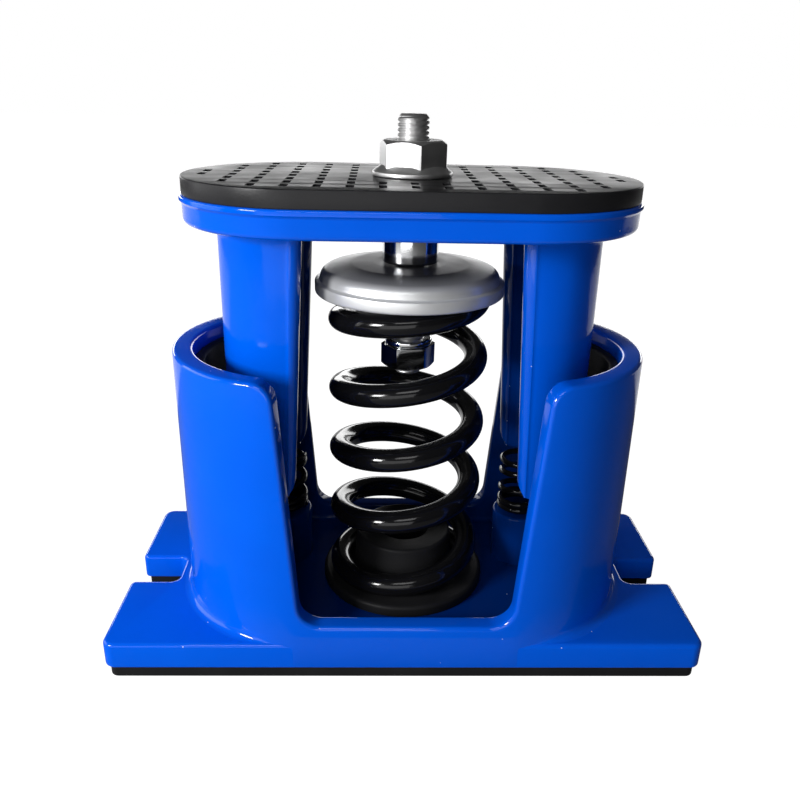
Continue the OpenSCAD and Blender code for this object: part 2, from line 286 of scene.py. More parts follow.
# small chips: voronoi dots whose size varies from cell to cell, far more where the edge weight is high
def buildChipGroup():
    group, given, result = newGroup("paintChips", [("Edge", 0), ("Scale", 300), ("Size", 0.3)], ["Mask"])
    link = group.links.new
    place = group.nodes.new("ShaderNodeTexCoord")
    cells = group.nodes.new("ShaderNodeTexVoronoi")
    link(place.outputs["Object"], cells.inputs["Vector"])
    link(given.outputs["Scale"], cells.inputs["Scale"])
    pick = group.nodes.new("ShaderNodeSeparateColor")
    link(cells.outputs["Color"], pick.inputs["Color"])
    plain, worn = 0.9985, 0.975    # shares of the cells without a chip, on flat faces and on edges
    limit = group.nodes.new("ShaderNodeMapRange")
    limit.inputs["To Min"].default_value = plain
    limit.inputs["To Max"].default_value = worn
    link(given.outputs["Edge"], limit.inputs["Value"])
    chosen = mathNode(group, "GREATER_THAN", pick.outputs["Red"], limit.outputs["Result"])
    radius = mathNode(group, "MULTIPLY", pick.outputs["Green"], given.outputs["Size"])
    within = mathNode(group, "LESS_THAN", cells.outputs["Distance"], radius)
    link(mathNode(group, "MULTIPLY", chosen, within), result.inputs["Mask"])
    return group


# painted shade: a per-point weight, high on faces inside the cups and under things where shade falls, times a
# strength
def buildPaintedShadeGroup():
    group, given, result = newGroup("paintedShadeReach", [("Strength", 1)], ["Mask"])
    weight = group.nodes.new("ShaderNodeAttribute")
    weight.attribute_name = "inside"
    group.links.new(mathNode(group, "MULTIPLY", weight.outputs["Fac"], given.outputs["Strength"]),
                    result.inputs["Mask"])
    return group


grainGroup = buildGrainGroup()
chipGroup = buildChipGroup()
paintedShadeGroup = buildPaintedShadeGroup()


# a finish: colour between two tones by the grain, darkened by painted shade where the shade weight is high
# and chipped at edges where the look asks, roughness and bump from the grain, constants on the shader itself
def makeFinish(name, look):
    material = bpy.data.materials.new(name)
    material.use_nodes = True
    tree = material.node_tree
    nodes = tree.nodes
    link = tree.links.new
    shader = nodes["Principled BSDF"]
    grain = nodes.new("ShaderNodeGroup")
    grain.node_tree = grainGroup
    for label in ("Broad", "Fine", "Low", "High"):
        grain.inputs[label].default_value = look[label.lower()]
    colour = mixedTone(tree, grain.outputs["Tint"], look["dark"], look["light"])
    # painted shade: the colour is mixed towards a dark tone by the shade weight
    if "paintedShadeTone" in look:
        reach = nodes.new("ShaderNodeGroup")
        reach.node_tree = paintedShadeGroup
        reach.inputs["Strength"].default_value = look["paintedShadeStrength"]
        colour = mixedTone(tree, reach.outputs["Mask"], colour, look["paintedShadeTone"])
    if "chips" in look:
        weight = nodes.new("ShaderNodeAttribute")
        weight.attribute_name = "edge"
        chips = nodes.new("ShaderNodeGroup")
        chips.node_tree = chipGroup
        chips.inputs["Scale"].default_value, chips.inputs["Size"].default_value = look["chips"]
        link(weight.outputs["Fac"], chips.inputs["Edge"])
        colour = mixedTone(tree, chips.outputs["Mask"], colour, look["chipTone"])
        gloss = mathNode(tree, "MULTIPLY", weight.outputs["Fac"], look["edgeCoat"])
        link(gloss, shader.inputs["Coat Weight"])    # paint gathers on the edges and is glossier there
    else:
        shader.inputs["Coat Weight"].default_value = look.get("coat", 0)
    link(colour, shader.inputs["Base Color"])
    link(grain.outputs["Roughness"], shader.inputs["Roughness"])
    bump = nodes.new("ShaderNodeBump")
    bump.inputs["Strength"].default_value = look["bump"]
    bump.inputs["Distance"].default_value = look["bumpDepth"]
    link(grain.outputs["Height"], bump.inputs["Height"])
    link(bump.outputs["Normal"], shader.inputs["Normal"])
    shader.inputs["Metallic"].default_value = look.get("metal", 0)
    shader.inputs["Coat Roughness"].default_value = coatRoughness
    shader.inputs["Specular IOR Level"].default_value = look.get("specular", 0.5)
    return material


bluePaint = makeFinish("bluePaint", {
    "broad": 55, "fine": 700, "low": 0.10, "high": 0.15, "bump": 0.06, "bumpDepth": 0.0003,
    "dark": (0.0, 0.094, 0.70), "light": (0.0, 0.110, 0.77), "specular": 0.10, "edgeCoat": 0.9,
    # painted shade: a dark navy tone laid on inner and underside faces where shade falls
    "paintedShadeTone": (0.0, 0.022, 0.16), "paintedShadeStrength": 1.0,
    "chips": (850, 0.24), "chipTone": (0.75, 0.82, 0.95)})
springPaint = makeFinish("springPaint", {
    "broad": 60, "fine": 500, "low": 0.10, "high": 0.16, "bump": 0.1, "bumpDepth": 0.0004,
    "dark": (0.003, 0.003, 0.0035), "light": (0.006, 0.006, 0.007), "specular": 0.25, "coat": 0.2})
blackRubber = makeFinish("blackRubber", {
    "broad": 80, "fine": 1600, "low": 0.42, "high": 0.55, "bump": 0.25, "bumpDepth": 0.0002,
    "dark": (0.008, 0.008, 0.009), "light": (0.015, 0.015, 0.016), "specular": 0.12})
padRubber = makeFinish("padRubber", {
    "broad": 50, "fine": 1400, "low": 0.3, "high": 0.42, "bump": 0.15, "bumpDepth": 0.0002,
    "dark": (0.010, 0.010, 0.011), "light": (0.018, 0.018, 0.020), "specular": 0.25})
zincSteel = makeFinish("zincSteel", {
    "broad": 160, "fine": 1500, "low": 0.36, "high": 0.46, "bump": 0.12, "bumpDepth": 0.0002,
    "dark": (0.60, 0.60, 0.60), "light": (0.74, 0.74, 0.74), "metal": 1})
chromePlate = makeFinish("chromePlate", {
    "broad": 200, "fine": 900, "low": 0.06, "high": 0.12, "bump": 0.03, "bumpDepth": 0.0002,
    "dark": (0.80, 0.81, 0.82), "light": (0.92, 0.93, 0.94), "metal": 1})
satinSilver = makeFinish("satinSilver", {
    "broad": 90, "fine": 2200, "low": 0.34, "high": 0.42, "bump": 0.14, "bumpDepth": 0.0002,
    "dark": (0.72, 0.73, 0.74), "light": (0.84, 0.85, 0.86), "metal": 0.6, "specular": 0.1,
    # painted shade: a near-black tone on the dome's top
    "paintedShadeTone": (0.03, 0.03, 0.035), "paintedShadeStrength": 0.97})
print("finishes made")

# lower housing: base plate, cup walls with a free edge that dips to the window sills, two bosses
castLow, castHigh = nodeBox("lower_housing")
cupsHalf = 78    # half the length of the two cups together
housing = {
    "floor": castLow[2] + 9.5, "rim": castHigh[2], "wall": 6.8, "endRadius": castHigh[1],
    "spine": cupsHalf - castHigh[1], "sillHalf": 34.6, "topHalf": 41.2, "sill": castLow[2] + 16.4,
    "sillCorner": 8, "rimCorner": 7, "edgeRound": 1.4, "foot": 3, "innerFoot": 2, "corner": 4,
    "notch": 7.8, "notchDepth": 17, "notchCorner": 3, "notchMouth": 2, "plateUnder": 0.8, "plateOver": 1.5,
    "setBack": 0.12, "underEdge": [(0.02, 0.9), (0.3, 0.3), (1, 0)], "footFade": (0.9, 0.26),
    "rearShadeFade": (0.9, 0.4), "footGloss": 0.7, "innerGloss": 0.25, "boss": (45.3, 13, 10.2, 34),
    "patchGap": 0.5, "patchDepth": 0.5, "patchLift": 0.02}


# base plate: a rounded rectangle with a notch in each end, its edges rounded
def basePlate(size):
    outline = notchedOutline(castHigh[0], size["endRadius"] - size["setBack"], size, 0.5)
    side = roundedSide(castLow[2], size["floor"], size["plateUnder"], size["plateOver"], 6)
    return sweptSolid(outline, side)


# the wall: columns run round the long path; each climbs the outside, goes over a rounded free edge and
# comes down inside, and the free edge drops from the rim to the sill of each window
def cupWalls(size):
    r, t, rho = size["endRadius"], size["wall"], size["edgeRound"]
    quarter = size["spine"] + math.pi * r / 2    # along the path from the front middle to a cup's end
    corners = [(0, size["sill"]), (size["sillHalf"], size["sill"]),
               (size["topHalf"], size["rim"]), (quarter, size["rim"])]
    radii = [0, size["sillCorner"], size["rimCorner"], 0]
    curve = spaced(roundedOutline(corners, radii, 0.8, False), 1.6)
    along = np.gradient(curve, axis=0)
    along = along / np.linalg.norm(along, axis=1)[:, None]
    normal = np.stack([-along[:, 1], along[:, 0]], axis=1)
    normal[[0, -1]] = (0, 1)
    flip = slice(-2, 0, -1)    # the mirrored quarter, its two shared ends left out
    s = np.concatenate([curve[:, 0], 2 * quarter - curve[flip, 0],
                        2 * quarter + curve[:, 0], 4 * quarter - curve[flip, 0]])
    h = np.concatenate([curve[:, 1], curve[flip, 1]] * 2)
    ns = np.concatenate([normal[:, 0], -normal[flip, 0]] * 2)
    nh = np.concatenate([normal[:, 1], normal[flip, 1]] * 2)
    # free edge: a quarter round from the outer face and another to the inner one
    a = quarterRound(7)
    inset = rho * (1 - np.sin(np.concatenate([a, a[::-1]])))[:, None]
    depth = np.concatenate([rho * (1 - np.cos(a)), t - rho * (1 - np.cos(a[::-1]))])[:, None]
    bandS, bandH, bandR = s - ns * inset, h - nh * inset, r - depth + 0 * s
    # foot: a cove outside, faded out where the wall runs into the straight front and back, and one inside
    fromEnd = np.abs(np.mod(s, 2 * quarter) - quarter) / (quarter - size["spine"])
    fade = eased((size["footFade"][0] - fromEnd) / size["footFade"][1])
    b = quarterRound(6)[:, None]
    f, g, z0 = size["foot"], size["innerFoot"], size["floor"]
    under = np.array(size["underEdge"])    # rows of height above the underside and inset
    rise = np.linspace(0, 1, 9)[1:-1, None]
    top = bandH[0]
    outerZ = np.concatenate([castLow[2] + under[:, :1] + 0 * s, z0 + f * (1 - np.cos(b)) + 0 * s,
                             z0 + f + (top - z0 - f) * rise])
    outerR = np.concatenate([r - under[:, 1:] + 0 * s, r + f * (1 - np.sin(b)) * fade, r + 0 * rise * s])
    innerZ = np.concatenate([top + (z0 + g - top) * rise, z0 + g * (1 - np.sin(b)) + 0 * s,
                             z0 - 1 + 0 * s[None]])
    innerR = np.concatenate([r - t + 0 * rise * s, r - t - g * (1 - np.cos(b)) + 0 * s,
                             r - t - g + 0 * s[None]])
    allS = np.concatenate([bandS[0] + 0 * outerZ, bandS, bandS[-1] + 0 * innerZ])
    allZ = np.concatenate([outerZ, bandH, innerZ])
    x, y = stadiumPoint(allS, size["spine"], r, np.concatenate([outerR, bandR, innerR]))
    points = np.stack([x, y, allZ], axis=-1).reshape(-1, 3)
    rows, cols = allZ.shape
    # edge weight: part on the foot, most on the middle of each rounded edge
    footEdge = np.concatenate([np.zeros(len(under)), np.full(len(b), size["footGloss"]), np.zeros(len(rise))])
    arcEdge = 0.1 + 0.9 * np.sin(2 * a)
    edge = np.concatenate([footEdge, arcEdge, size["innerGloss"] * arcEdge[::-1], np.zeros(len(innerZ))])
    # painted shade weight: full within the cups, rising slowly over the free edge in front and at once by the
    # rear window, where shade falls
    outside, within = np.zeros(len(outerZ)), np.ones(len(innerZ))
    front = np.concatenate([outside, np.linspace(0, 0.3, len(bandS)), within])
    back = np.concatenate([outside, np.linspace(0, 4, len(bandS)), within]).clip(0, 1)
    rear = eased((size["rearShadeFade"][0] - np.abs(s - 2 * quarter) / quarter) / size["rearShadeFade"][1])
    inside = front[:, None] * (1 - rear) + back[:, None] * rear
    return points, [gridFaces(rows, cols, closeRows=True)], np.repeat(edge, cols), inside.reshape(-1)


# painted shade on the floor between the walls: a thin round-ended patch that stands just above the base
# plate, carrying full shade weight
def floorShadePatch(size):
    r = size["endRadius"] - size["wall"] - size["patchGap"]
    outline = stadiumOutline(size["spine"] + r, r, 1.2)
    low, high = size["floor"] - size["patchDepth"], size["floor"] + size["patchLift"]
    block = sweptSolid(outline, [(0, low), (0, high)])
    return *block, np.ones(len(block[0]))


# a boss under a buffer spring: a rectangle with its top edge rounded, turned about the boss's own axis
def bossBlock(size, side):
    x, y, r, top = size["boss"]
    low = size["floor"] - 1    # its foot stands in the base plate
    hair = 0.01    # the section stays this far off the axis
    corners = [(hair, low), (r, low), (r, top), (hair, top)]
    block = turned(roundedOutline(corners, [hair / 10, hair, 1, hair / 10], 0.3), 48, (side * x, y))
    # painted shade: the whole boss takes full shade weight
    return *block, np.ones(len(block[0]))


housingBlocks = [basePlate(housing), cupWalls(housing), floorShadePatch(housing)]
housingBlocks += [bossBlock(housing, side) for side in (1, -1)]
makePiece("lowerHousing", housingBlocks, bluePaint, "lower", ["lower_housing"])

# base pad: black rubber slightly smaller than the base, with the same notches
padLow, padHigh = nodeBox("base_pad")
groundPad = {
    "notch": 9.2, "notchDepth": 17, "notchCorner": 4, "notchMouth": 0.8, "corner": 3, "edgeRound": 0.5}


# the notched outline carried up, both its edges rounded
def groundPadBlock(size):
    outline = notchedOutline(padHigh[0], padHigh[1], size, 0.6)
    return sweptSolid(outline, roundedSide(padLow[2], padHigh[2], size["edgeRound"], size["edgeRound"], 4))


makePiece("groundPad", [groundPadBlock(groundPad)], blackRubber, "lower", ["base_pad"])


# a strip in plan: a middle line with normals and half widths, closed by a round at each end
def stripOutline(middle, normal, width, capSteps=9):
    outer = middle + normal * width[:, None]
    inner = middle - normal * width[:, None]
    a = np.linspace(0, math.pi, capSteps + 2)[1:-1, None]
    lastAlong = np.array([-normal[-1, 1], normal[-1, 0]])
    firstAlong = np.array([normal[0, 1], -normal[0, 0]])
    lastCap = middle[-1] + width[-1] * (np.cos(a) * normal[-1] + np.sin(a) * lastAlong)
    firstCap = middle[0] + width[0] * (-np.cos(a) * normal[0] + np.sin(a) * firstAlong)
    return np.vstack([outer, lastCap, inner[::-1], firstCap])


# an arc in plan with short straight ends: points and outward normals
def arcLine(centreX, radius, halfAngle, straight, steps):
    a = np.linspace(-halfAngle, halfAngle, steps)
    normal = np.stack([np.cos(a), np.sin(a)], axis=1)
    points = np.array([centreX, 0]) + radius * normal
    if straight:
        ends = np.linspace(straight, 0, 5)[:-1, None]
        before = points[0] - ends * np.array([-normal[0, 1], normal[0, 0]])
        after = points[-1] + ends[::-1] * np.array([-normal[-1, 1], normal[-1, 0]])
        points = np.vstack([before, points, after])
        firstNormals, lastNormals = [np.repeat(end, len(ends), axis=0) for end in (normal[:1], normal[-1:])]
        normal = np.vstack([firstNormals, normal, lastNormals])
    return points, normal


# rubber liners: part rings against the cup walls
liner = {
    "middle": castHigh[1] - 8.55, "half": 1.75, "spine": cupsHalf - castHigh[1], "angle": 58,
    "underRound": 0.6, "overRound": 0.9}


# an arc widened to a strip and carried up, its edges rounded
def linerBlock(size, node, side):
    low, high = nodeBox(node)
    middle, normal = arcLine(size["spine"], size["middle"], math.radians(size["angle"]), 0, 80)
    outline = stripOutline(middle, normal, np.full(len(middle), size["half"])) * side
    return sweptSolid(outline, roundedSide(low[2], high[2], size["underRound"], size["overRound"], 4))


for side, node, name in ((1, "right_liner", "rightLiner"), (-1, "left_liner", "leftLiner")):
    makePiece(name, [linerBlock(liner, node, side)], blackRubber, "lower", [node])

# upper housing: lipped top plate and two half-tube legs with a bead down each inner edge
topHigh = nodeBox("upper_housing")[1]
upper = {
    "underside": topHigh[2] - 8.6, "legBottom": topHigh[2] - 96.6, "lip": 0.8, "lipHeight": 2.2,
    "underRound": 1.6, "overRound": 0.7, "spine": 38.3, "legMiddle": 20.6, "legHalf": 2.5, "bead": 0.4,
    "beadReach": 6, "straight": 0.3, "footRound": 6, "footEdge": 1.0, "innerTop": 32.8, "innerFoot": 37.2,
    "leanReach": 14, "wearReach": 2.5, "rearShadeReach": 6, "cove": 2.2, "sunk": 0.8, "capSteps": 11,
    "footRadius": 21.1, "footInner": 45.5, "footLift": 0.3, "footPlate": 5, "footPlateRound": 0.5,
    "footPaintedShade": 0.7}


# top plate: a round-ended outline carried up through a rounded lower edge, a step out to the lip and a
# rounded upper edge
def topPlate(size):
    outline = stadiumOutline(topHigh[0], topHigh[1], 0.9)
    lip, z, top = size["lip"], size["underside"], topHigh[2]
    a = quarterRound(6)
    step = top - size["lipHeight"]
    lowRound, highRound = size["underRound"], size["overRound"]
    under = np.stack([lip + lowRound * (1 - np.sin(a)), z + lowRound * (1 - np.cos(a))], axis=1)
    lipRows = [[lip, step - 0.5], [lip - 0.1, step - 0.2], [lip * 0.4, step + 0.2], [0, step + 0.6]]
    over = np.stack([highRound * (1 - np.cos(a)), top - highRound * (1 - np.sin(a))], axis=1)
    rows = np.vstack([under, lipRows, over])
    points, faces, _ = sweptSolid(outline, rows)
    edge = np.concatenate([np.sin(2 * a), [0, 0.2, 0.5, 0.3], np.sin(2 * a)])
    inside = np.zeros(len(rows))
    # painted shade on the plate's underside
    inside[0] = 1    # the underside
    return points, faces, np.repeat(edge, len(outline)), np.repeat(inside, len(outline))


# one leg: the strip outline carried up; its foot is rounded, its top coves into the plate, and its inner
# edges lean: near them each point moves by the height's share of the way from foot to plate
def legBlock(size, side):
    caps, edgeRound, cove = size["capSteps"], size["footEdge"], size["cove"]
    middle, normal = arcLine(size["spine"], size["legMiddle"], math.pi / 2, size["straight"], 72)
    n = len(middle)
    pointGap = 0.9    # about the distance between two points of the middle line
    fromEnd = np.minimum(np.arange(n), np.arange(n)[::-1]) * pointGap
    width = size["legHalf"] + size["bead"] * np.exp(-(fromEnd / size["beadReach"]) ** 2)
    outline = stripOutline(middle, normal, width, caps)
    inner = outline[:, 0].min()
    reach = np.clip((inner + size["footRound"] - outline[:, 0]) / size["footRound"], 0, 1)
    lowZ = size["legBottom"] + size["footRound"] * (1 - np.sqrt(1 - reach ** 2))
    highZ = size["underside"] + size["sunk"]
    a = quarterRound(5)[:, None]
    rise = np.linspace(0, 1, 40)[1:, None] ** 0.8    # rows closer together towards the plate
    z = np.vstack([lowZ + edgeRound * (1 - np.cos(a)), lowZ + edgeRound + (highZ - lowZ - edgeRound) * rise])
    inset = np.vstack([edgeRound * (1 - np.sin(a)) + 0 * lowZ, 0 * rise * lowZ])
    nearPlate = np.clip((z - size["underside"] + cove) / cove, 0, 1)
    grow = cove * (1 - np.sqrt(1 - nearPlate ** 2))
    flat = outline[None] + outlineNormals(outline)[None] * (grow - inset)[:, :, None]
    climb = (z - size["legBottom"]) / (size["underside"] - size["legBottom"])
    near = np.clip(1 - (outline[:, 0] - inner) / size["leanReach"], 0, 1) ** 1.5
    leaning = size["innerFoot"] + (size["innerTop"] - size["innerFoot"]) * climb
    flat[:, :, 0] += (leaning - inner) * near
    points = np.concatenate([flat * side, z[:, :, None]], axis=2).reshape(-1, 3)
    rows, cols = z.shape
    # both ends are closed by quads from each outer point to the inner one over against it, and by two caps
    i = np.arange(n - 1)
    across = cols - caps - 1 - i
    strip = np.stack([i + 1, i, across, across - 1], axis=1)
    lastCap = np.arange(n - 1, n + caps + 1)[None, ::-1]
    firstCap = np.append(np.arange(cols - caps - 1, cols), 0)[None, ::-1]
    ends = [strip, lastCap, firstCap]
    faces = [gridFaces(rows, cols), *ends, *[end[:, ::-1] + (rows - 1) * cols for end in ends]]
    edge = np.exp(-((outline[:, 0] - inner) / size["wearReach"]) ** 2) * np.ones((rows, 1))
    cap = np.linspace(0, 1, caps + 2)[1:-1]
    inside = np.concatenate([np.zeros(n), cap, np.ones(n), cap[::-1]]) * np.ones((rows, 1))
    # painted shade: the leg's rear inner strip is dark all over, where shade falls
    rearShadeEdge = (outline[:, 1] * side > 0) & (outline[:, 0] < inner + size["rearShadeReach"])
    inside[:, rearShadeEdge] = 1
    return points, faces, edge.reshape(-1), inside.reshape(-1)


# the plate across a leg's foot: the part of a disc beyond its inner edge, a chord
def legFoot(size, side):
    r = size["footRadius"]
    span = math.acos((size["footInner"] - size["spine"]) / r)
    a = np.linspace(-span, span, 40)
    outline = np.stack([size["spine"] + r * np.cos(a), r * np.sin(a)], axis=1) * side
    low = size["legBottom"] + size["footLift"]
    edgeRound = size["footPlateRound"]
    block = sweptSolid(outline, roundedSide(low, low + size["footPlate"], edgeRound, edgeRound, 3))
    # painted shade: the foot plate takes most of the shade weight
    return *block, np.full(len(block[0]), size["footPaintedShade"])


legBlocks = [block(upper, side) for side in (1, -1) for block in (legBlock, legFoot)]
makePiece("upperHousing", [topPlate(upper), *legBlocks], bluePaint, "upper", ["upper_housing"])

# top pad: a rubber stadium with columns of short sunk recesses and a round hole for the collar
topPad = {
    "columnGap": 9.2, "columnCount": 15, "rowGap": 8.4, "rowCount": 8, "recess": (2.4, 5.4),
    "recessCorner": 0.45, "depth": 1.0, "margin": 2.6, "nutClear": 13.5, "hole": 9.8, "holeSteps": 64,
    "underRound": 0.3, "overRound": 0.45}


# evenly spaced places on both sides of nought
def centred(count, gap):
    return (np.arange(count) - (count - 1) / 2) * gap


# the pad: a side carried round the outline, a top face cut by the recesses and the hole, an underside, a
# well below each recess (its outline sunk by the depth) and the hole's bore
def topPadBlocks(size):
    low, high = nodeBox("top_pad")
    half, r, top = high
    outline = stadiumOutline(half, r, 0.9)
    rows = roundedSide(low[2], top, size["underRound"], size["overRound"], 5)
    side = sweptSolid(outline, rows, (False, False))
    rim = side[0][-len(outline):]
    under = side[0][:len(outline)]
    w, l = size["recess"]
    columns = centred(size["columnCount"], size["columnGap"])
    x, y = np.meshgrid(columns, centred(size["rowCount"], size["rowGap"]))
    place = np.stack([x.ravel(), y.ravel()], axis=1)
    endX = np.maximum(np.abs(place[:, 0]) + w / 2 - (half - r), 0)
    reach = np.sqrt(np.maximum((r - size["margin"]) ** 2 - endX ** 2, 0))
    keep = (np.abs(place[:, 1]) + l / 2 < reach) & (np.hypot(*place.T) > size["nutClear"] + l / 2)
    place = place[keep]
    corners = [(-w / 2, -l / 2), (w / 2, -l / 2), (w / 2, l / 2), (-w / 2, l / 2)]
    cell = roundedOutline(corners, [size["recessCorner"]] * 4, 0.2)
    loops = np.concatenate([place[:, None] + cell, np.full((len(place), len(cell), 1), top)], axis=2)
    m = size["holeSteps"]
    angle = np.linspace(0, turn, m, endpoint=False)
    ring = np.stack([size["hole"] * np.cos(angle), size["hole"] * np.sin(angle), np.full(m, top)], axis=1)
    lowRing = ring * (1, 1, 0) + (0, 0, low[2])
    every = [rim, *loops, ring]
    face = (np.vstack(every), [np.array(tessellate_polygon([v.tolist() for v in every]))])
    lowFaces = np.array(tessellate_polygon([under.tolist(), lowRing.tolist()]))
    floor = (np.vstack([under, lowRing]), [lowFaces[:, ::-1]])
    k, n = loops.shape[:2]
    first = 2 * n * np.arange(k)    # each well's first point
    wells = (np.concatenate([loops, loops - (0, 0, size["depth"])], axis=1).reshape(-1, 3),
             [(gridFaces(2, n)[None] + first[:, None, None]).reshape(-1, 4),
              n + np.arange(n)[None] + first[:, None]])
    bore = (np.vstack([ring, lowRing]), [gridFaces(2, m)])
    return [side, *[(*block, np.zeros(len(block[0]))) for block in (face, floor, wells, bore)]]


makePiece("topPad", topPadBlocks(topPad), padRubber, "upper", ["top_pad"], 30)

# spring seat: a stepped rubber ring with a spigot inside the coil
seatLow, seatHigh = nodeBox("spring_seat")
seat = {"hole": 9, "spigot": 17, "spigotFoot": 18.2, "ring": 4, "rounds": [0.3, 0.5, 1.4, 0.4, 1.2, 0.5]}


# a flat ring and a spigot that narrows upwards, as one rounded section turned
def seatBlock(size):
    low, high, r = seatLow[2], seatHigh[2], seatHigh[0]
    step = low + size["ring"]
    corners = [(size["hole"], low), (r, low), (r, step), (size["spigotFoot"], step), (size["spigot"], high),
               (size["hole"], high)]
    return turned(roundedOutline(corners, size["rounds"], 0.25))


makePiece("springSeat", [seatBlock(seat)], blackRubber, "lower", ["spring_seat"])

# coil springs: round wire wound on a radius, pitch softened along its length, ends ground flat
coilLow, coilHigh = nodeBox("main_spring")
mainCoil = {
    "radius": 23, "wire": 7.8, "rings": 84, "sides": 28, "blur": 60, "lowGround": 2.2, "highGround": 2.0}
bufferCoil = {"radius": 7.8, "wire": 2.2, "rings": 48, "sides": 14, "blur": 40}


# wire heights: straight-line lookup in the table, averaged over a window either side
def softHeights(table, angle, blur):
    table = np.array(table, float)
    near = np.clip(angle[:, None] + blur * np.arange(-6, 7)[None] / 6, table[0, 0], table[-1, 0])
    return np.interp(near, table[:, 0], table[:, 1]).mean(axis=1)


# at each angle a circle stands in the radial plane; it is cut level where it passes the ground ends
def coiledWire(size, table, low, high, centre=(0, 0)):
    first, last = table[0][0], table[-1][0]
    count = int((last - first) / 360 * size["rings"]) + 1
    angle = np.linspace(first, last, count)
    n = size["sides"]
    b = np.linspace(0, turn, n, endpoint=False)[None]
    a = np.radians(angle)[:, None]
    r = size["radius"] + size["wire"] / 2 * np.cos(b) + 0 * a
    z = np.clip(softHeights(table, angle, size["blur"])[:, None] + size["wire"] / 2 * np.sin(b), low, high)
    points = np.stack([centre[0] + r * np.cos(a), centre[1] + r * np.sin(a), z], axis=-1).reshape(-1, 3)
    ends = [np.arange(n)[None], (count - 1) * n + np.arange(n)[None, ::-1]]
    return points, [gridFaces(count, n)[:, ::-1], *ends], np.zeros(len(points))


# winding angle in degrees and height of the wire's middle: closed turns at both ends, where the wire's round
# is ground off, and shares of the spring's length between them
def mainTable(size, low, high):
    span = high - low
    start = low + size["wire"] / 2 - size["lowGround"]
    end = high - size["wire"] / 2 + size["highGround"]
    return [(10, start), (190, start + 0.6), (280, start + 3.2), (450, low + span * 0.178),
            (630, low + span * 0.288), (900, low + span * 0.454), (1260, low + span * 0.663),
            (1620, end - 9), (1710, end - 5.1), (1800, end - 1.1), (1850, end), (2000, end)]


# the same for a buffer spring: two close turns below, two open ones and a closed one above
def bufferTable(size, low, high):
    w = size["wire"]
    return [(0, low + 0.35 * w), (360, low + 1.4 * w), (720, low + 2.5 * w), (1440, high - 1.4 * w),
            (1800, high - 0.35 * w)]


# gives a spring piece a mesh of its own
def squeezeOnJoint(piece):
    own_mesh(piece)


mainWire = coiledWire(mainCoil, mainTable(mainCoil, coilLow[2], coilHigh[2]), coilLow[2], coilHigh[2])
mainPiece = makePiece("mainSpring", [mainWire], springPaint, "lower", ["main_spring"])
squeezeOnJoint(mainPiece)
for node, name in (("right_buffer_spring", "rightBuffer"), ("left_buffer_spring", "leftBuffer")):
    low, high = nodeBox(node)
    table = bufferTable(bufferCoil, low[2], high[2])
    bufferWire = coiledWire(bufferCoil, table, low[2], high[2], (low[:2] + high[:2]) / 2)
    bufferPiece = makePiece(name, [bufferWire], springPaint, "lower", [node])
    squeezeOnJoint(bufferPiece)

# spring cup: a pressed dome over a lip, turned from one section
cupLow, cupHigh = nodeBox("spring_cup")
cup = {
    "bore": 5.08, "recess": 28.2, "skirt": 2.0, "profile": [(0, 3.9), (1.6, 4.2), (2.1, 7.6), (12, 9.3)],
    "crown": 19, "rounds": [0.2, 0.5, 0.6, 0.8, 0.5, 0.3, 3.2, 8, 3, 0.4], "steps": 128,
    "domeShadeStart": 30.5, "domeShadeReach": 8, "domeShadeFoot": 5}


# section of the cup: a recess over the coil below, an upright lip, a step in, and a dome up to the bore
def cupSection(size):
    r, z, top = cupHigh[0], cupLow[2], cupHigh[2]
    recess = [(size["bore"], z + size["skirt"]), (size["recess"], z + size["skirt"]), (size["recess"], z)]
    outside = [(r, z), *[(r - inset, z + height) for inset, height in size["profile"]]]
    crown = [(r - size["crown"], top), (size["bore"], top)]
    return roundedOutline(recess + outside + crown, size["rounds"], 0.35)


# painted shade: the dome darkens from its shoulder to the collar, the weight rising as the radius falls
def cupBlock(size):
    section = cupSection(size)
    domeShade = eased((size["domeShadeStart"] - section[:, 0]) / size["domeShadeReach"])
    domeShade = domeShade * (section[:, 1] > cupLow[2] + size["domeShadeFoot"])
    return *turned(section, size["steps"]), np.repeat(domeShade, size["steps"])


makePiece("springCup", [cupBlock(cup)], satinSilver, "cup", ["spring_cup"], 50)

# bolt: threaded rod, chromed collar, stop nut with its washer, flange nut
boltLow, boltHigh = nodeBox("adjusting_bolt")
thread = {
    "radius": 5.0, "depth": 0.6, "pitch": 1.5, "columns": 48, "rowsPerPitch": 10, "chamfer": 1.3,
    "chamferSlope": 0.9, "crest": 0.14, "flank": 0.7}


# the rod's radius drops in the groove, set by the phase of height over pitch less angle over a turn
def threadedRod(size):
    low, high, n = boltLow[2], boltHigh[2], size["columns"]
    rows = int((high - low) / size["pitch"] * size["rowsPerPitch"])
    z = np.linspace(low, high, rows)[:, None]
    a = np.linspace(0, turn, n, endpoint=False)[None]
    phase = np.mod(z / size["pitch"] - a / turn, 1)
    groove = np.clip((np.abs(phase - 0.5) * 2 - size["crest"]) / size["flank"], 0, 1)
    r = size["radius"] - size["depth"] * groove
    nearEnd = np.minimum(z - low, high - z)
    r = np.minimum(r, size["radius"] - np.clip(size["chamfer"] - nearEnd, 0, None) * size["chamferSlope"])
    points = np.stack([r * np.cos(a), r * np.sin(a), z + 0 * a], axis=-1).reshape(-1, 3)
    ends = [np.arange(n)[None, ::-1], (rows - 1) * n + np.arange(n)[None]]
    return points, [gridFaces(rows, n), *ends], np.zeros(len(points))


makePiece("adjustingBolt", [threadedRod(thread)], zincSteel, "bolt", ["adjusting_bolt"], 50)

collar = {"bore": 5.02, "rounds": [0.2, 0.8, 0.6, 0.2], "step": 0.2}
washer = {"bore": 5.02, "rounds": [0.2, 1.0, 1.0, 0.2], "step": 0.15}


